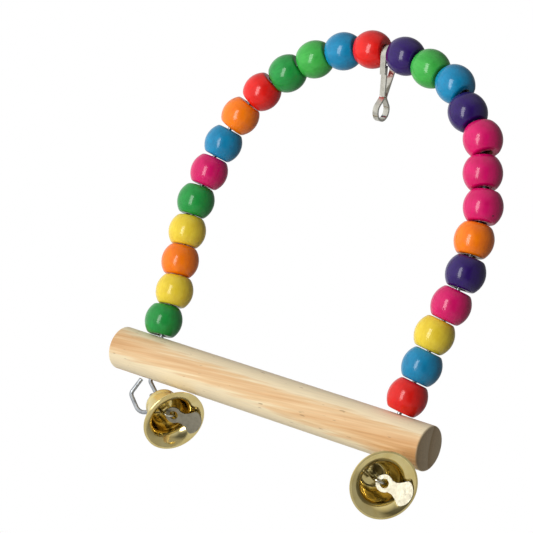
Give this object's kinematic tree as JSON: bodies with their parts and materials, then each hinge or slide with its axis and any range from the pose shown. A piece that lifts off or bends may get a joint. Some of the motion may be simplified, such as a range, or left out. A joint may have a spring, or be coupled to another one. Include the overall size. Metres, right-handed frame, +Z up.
{
  "type": "bird swing",
  "caption": "Bird cage swing: a pine dowel perch on a wire arch strung with coloured wooden beads, a hook clip at the top and a brass bell under each end.",
  "frame": {"origin": "the wire's centre at the top of the arch, inside the clip's hook, which is the point the swing swings about", "axes": "+X along the perch, +Y away from the front, +Z up; the arch stands in the XZ plane"},
  "size_m": [0.1422, 0.0352, 0.1685],
  "materials": {
    "pine": "sanded, unfinished",
    "galvanised_wire": "satin zinc",
    "nickel": "bright plate",
    "brass": "polished",
    "clapper_plate": "satin plate",
    "red_bead": "gloss lacquer",
    "blue_bead": "gloss lacquer",
    "purple_bead": "gloss lacquer",
    "green_bead": "gloss lacquer",
    "light_green_bead": "gloss lacquer",
    "pink_bead": "gloss lacquer",
    "orange_bead": "gloss lacquer",
    "yellow_bead": "gloss lacquer"
  },
  "bodies": {
    "clip": {"clip_hook": "nickel"},
    "gate": {"clip_gate": "nickel"},
    "frame": {"perch_dowel": "pine", "arch_wire": "galvanised_wire"},
    "bead_01": {"bead_01": "green_bead"},
    "bead_02": {"bead_02": "yellow_bead"},
    "bead_03": {"bead_03": "orange_bead"},
    "bead_04": {"bead_04": "yellow_bead"},
    "bead_05": {"bead_05": "green_bead"},
    "bead_06": {"bead_06": "pink_bead"},
    "bead_07": {"bead_07": "blue_bead"},
    "bead_08": {"bead_08": "orange_bead"},
    "bead_09": {"bead_09": "red_bead"},
    "bead_10": {"bead_10": "green_bead"},
    "bead_11": {"bead_11": "light_green_bead"},
    "bead_12": {"bead_12": "blue_bead"},
    "bead_13": {"bead_13": "red_bead"},
    "bead_14": {"bead_14": "purple_bead"},
    "bead_15": {"bead_15": "light_green_bead"},
    "bead_16": {"bead_16": "blue_bead"},
    "bead_17": {"bead_17": "purple_bead"},
    "bead_18": {"bead_18": "pink_bead"},
    "bead_19": {"bead_19": "pink_bead"},
    "bead_20": {"bead_20": "pink_bead"},
    "bead_21": {"bead_21": "orange_bead"},
    "bead_22": {"bead_22": "purple_bead"},
    "bead_23": {"bead_23": "pink_bead"},
    "bead_24": {"bead_24": "yellow_bead"},
    "bead_25": {"bead_25": "blue_bead"},
    "bead_26": {"bead_26": "red_bead"},
    "left_bell": {"left_bell_shell": "brass", "left_bell_hanger": "nickel"},
    "left_clapper": {"left_bell_clapper": "clapper_plate"},
    "right_bell": {"right_bell_shell": "brass", "right_bell_hanger": "nickel"},
    "right_clapper": {"right_bell_clapper": "clapper_plate"}
  },
  "joints": [
    {"name": "swing", "type": "hinge", "parent": "clip", "child": "frame", "pos_m": [0, 0, 0], "axis": [1, 0, 0], "continuous": true},
    {"name": "gate_flex", "type": "hinge", "parent": "clip", "child": "gate", "pos_m": [0, 0.00575, -0.01608], "axis": [-1, 0, 0], "range_deg": [0, 14], "stiffness_Nm_per_rad": 0.004},
    {"name": "bead_01_spin", "type": "hinge", "parent": "frame", "child": "bead_01", "pos_m": [-0.05513, 0, -0.11803], "axis": [-0.1288, 0, 0.9917], "continuous": true},
    {"name": "bead_02_spin", "type": "hinge", "parent": "frame", "child": "bead_02", "pos_m": [-0.05501, 0, -0.10637], "axis": [-0.1288, 0, 0.9917], "continuous": true},
    {"name": "bead_03_spin", "type": "hinge", "parent": "frame", "child": "bead_03", "pos_m": [-0.0573, 0, -0.09502], "axis": [-0.1288, 0, 0.9917], "continuous": true},
    {"name": "bead_04_spin", "type": "hinge", "parent": "frame", "child": "bead_04", "pos_m": [-0.05887, 0, -0.08357], "axis": [-0.1288, 0, 0.9917], "continuous": true},
    {"name": "bead_05_spin", "type": "hinge", "parent": "frame", "child": "bead_05", "pos_m": [-0.0599, 0, -0.07167], "axis": [-0.025, 0, 0.9997], "continuous": true},
    {"name": "bead_06_spin", "type": "hinge", "parent": "frame", "child": "bead_06", "pos_m": [-0.05866, 0, -0.05979], "axis": [0.0819, 0, 0.9966], "continuous": true},
    {"name": "bead_07_spin", "type": "hinge", "parent": "frame", "child": "bead_07", "pos_m": [-0.05688, 0, -0.04807], "axis": [0.1878, 0, 0.9822], "continuous": true},
    {"name": "bead_08_spin", "type": "hinge", "parent": "frame", "child": "bead_08", "pos_m": [-0.05374, 0, -0.03633], "axis": [0.3856, 0, 0.9227], "continuous": true},
    {"name": "bead_09_spin", "type": "hinge", "parent": "frame", "child": "bead_09", "pos_m": [-0.04796, 0, -0.02558], "axis": [0.5692, 0, 0.8222], "continuous": true},
    {"name": "bead_10_spin", "type": "hinge", "parent": "frame", "child": "bead_10", "pos_m": [-0.03969, 0, -0.01665], "axis": [0.7279, 0, 0.6856], "continuous": true},
    {"name": "bead_11_spin", "type": "hinge", "parent": "frame", "child": "bead_11", "pos_m": [-0.03004, 0, -0.00931], "axis": [0.8548, 0, 0.519], "continuous": true},
    {"name": "bead_12_spin", "type": "hinge", "parent": "frame", "child": "bead_12", "pos_m": [-0.01908, 0, -0.00414], "axis": [0.9441, 0, 0.3297], "continuous": true},
    {"name": "bead_13_spin", "type": "hinge", "parent": "frame", "child": "bead_13", "pos_m": [-0.00729, 0, -0.00136], "axis": [0.992, 0, 0.1259], "continuous": true},
    {"name": "bead_14_spin", "type": "hinge", "parent": "frame", "child": "bead_14", "pos_m": [0.00729, 0, -0.00136], "axis": [-0.992, 0, 0.1259], "continuous": true},
    {"name": "bead_15_spin", "type": "hinge", "parent": "frame", "child": "bead_15", "pos_m": [0.01914, 0, -0.00397], "axis": [-0.9441, 0, 0.3297], "continuous": true},
    {"name": "bead_16_spin", "type": "hinge", "parent": "frame", "child": "bead_16", "pos_m": [0.03098, 0, -0.00777], "axis": [-0.8548, 0, 0.519], "continuous": true},
    {"name": "bead_17_spin", "type": "hinge", "parent": "frame", "child": "bead_17", "pos_m": [0.03969, 0, -0.01665], "axis": [-0.7279, 0, 0.6856], "continuous": true},
    {"name": "bead_18_spin", "type": "hinge", "parent": "frame", "child": "bead_18", "pos_m": [0.04907, 0, -0.02481], "axis": [-0.5692, 0, 0.8222], "continuous": true},
    {"name": "bead_19_spin", "type": "hinge", "parent": "frame", "child": "bead_19", "pos_m": [0.05349, 0, -0.03643], "axis": [-0.3856, 0, 0.9227], "continuous": true},
    {"name": "bead_20_spin", "type": "hinge", "parent": "frame", "child": "bead_20", "pos_m": [0.05803, 0, -0.04785], "axis": [-0.1878, 0, 0.9822], "continuous": true},
    {"name": "bead_21_spin", "type": "hinge", "parent": "frame", "child": "bead_21", "pos_m": [0.05893, 0, -0.05977], "axis": [-0.0819, 0, 0.9966], "continuous": true},
    {"name": "bead_22_spin", "type": "hinge", "parent": "frame", "child": "bead_22", "pos_m": [0.06008, 0, -0.07168], "axis": [0.025, 0, 0.9997], "continuous": true},
    {"name": "bead_23_spin", "type": "hinge", "parent": "frame", "child": "bead_23", "pos_m": [0.05878, 0, -0.08356], "axis": [0.1288, 0, 0.9917], "continuous": true},
    {"name": "bead_24_spin", "type": "hinge", "parent": "frame", "child": "bead_24", "pos_m": [0.0564, 0, -0.0949], "axis": [0.1288, 0, 0.9917], "continuous": true},
    {"name": "bead_25_spin", "type": "hinge", "parent": "frame", "child": "bead_25", "pos_m": [0.05581, 0, -0.10647], "axis": [0.1288, 0, 0.9917], "continuous": true},
    {"name": "bead_26_spin", "type": "hinge", "parent": "frame", "child": "bead_26", "pos_m": [0.05441, 0, -0.11793], "axis": [0.1288, 0, 0.9917], "continuous": true},
    {"name": "left_bell_swing", "type": "hinge", "parent": "frame", "child": "left_bell", "pos_m": [-0.05044, 0, -0.14778], "axis": [0, 1, 0], "range_deg": [0, 100]},
    {"name": "left_clapper_swing", "type": "hinge", "parent": "left_bell", "child": "left_clapper", "pos_m": [-0.03664, -0.00313, -0.14967], "axis": [0.2454, -0.3579, 0.9009], "range_deg": [-103, 0]},
    {"name": "right_bell_swing", "type": "hinge", "parent": "frame", "child": "right_bell", "pos_m": [0.05044, 0, -0.14778], "axis": [0.9328, 0.3395, -0.1211], "range_deg": [0, 110]},
    {"name": "right_clapper_swing", "type": "hinge", "parent": "right_bell", "child": "right_clapper", "pos_m": [0.06075, -0.01069, -0.14789], "axis": [0.1686, -0.0796, 0.9825], "range_deg": [-103, 0]}
  ]
}
